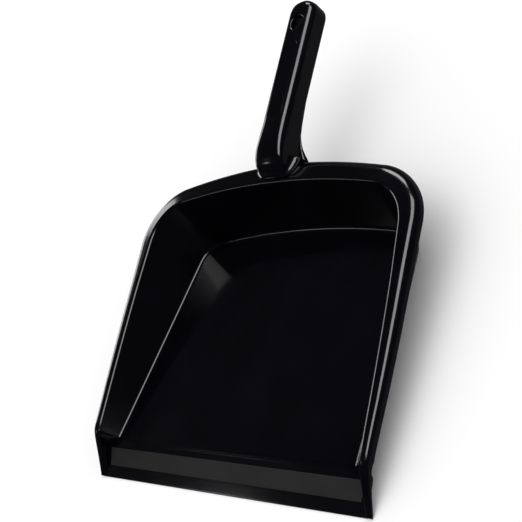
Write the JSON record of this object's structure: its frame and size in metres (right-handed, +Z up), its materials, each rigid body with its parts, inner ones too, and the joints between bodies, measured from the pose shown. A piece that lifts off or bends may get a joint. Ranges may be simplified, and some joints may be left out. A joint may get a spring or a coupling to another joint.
{
  "type": "dust pan",
  "caption": "Open-fronted moulded dust pan with a turned-over rim, a ramped lip and a raised handle with a hanging hole.",
  "frame": {"origin": "middle of the object's footprint, on the ground", "axes": "+X to the user's right, +Y from the lip towards the handle, +Z up"},
  "size_m": [0.3128, 0.406, 0.0934],
  "materials": {
    "moulding": "glossy moulded black",
    "lip": "glossy moulded black",
    "strip": "satin black",
    "grip": "glossy moulded black"
  },
  "bodies": {
    "root": {"pan_body": "moulding", "front_lip": "lip", "lip_strip": "strip", "handle": "grip"}
  },
  "joints": []
}
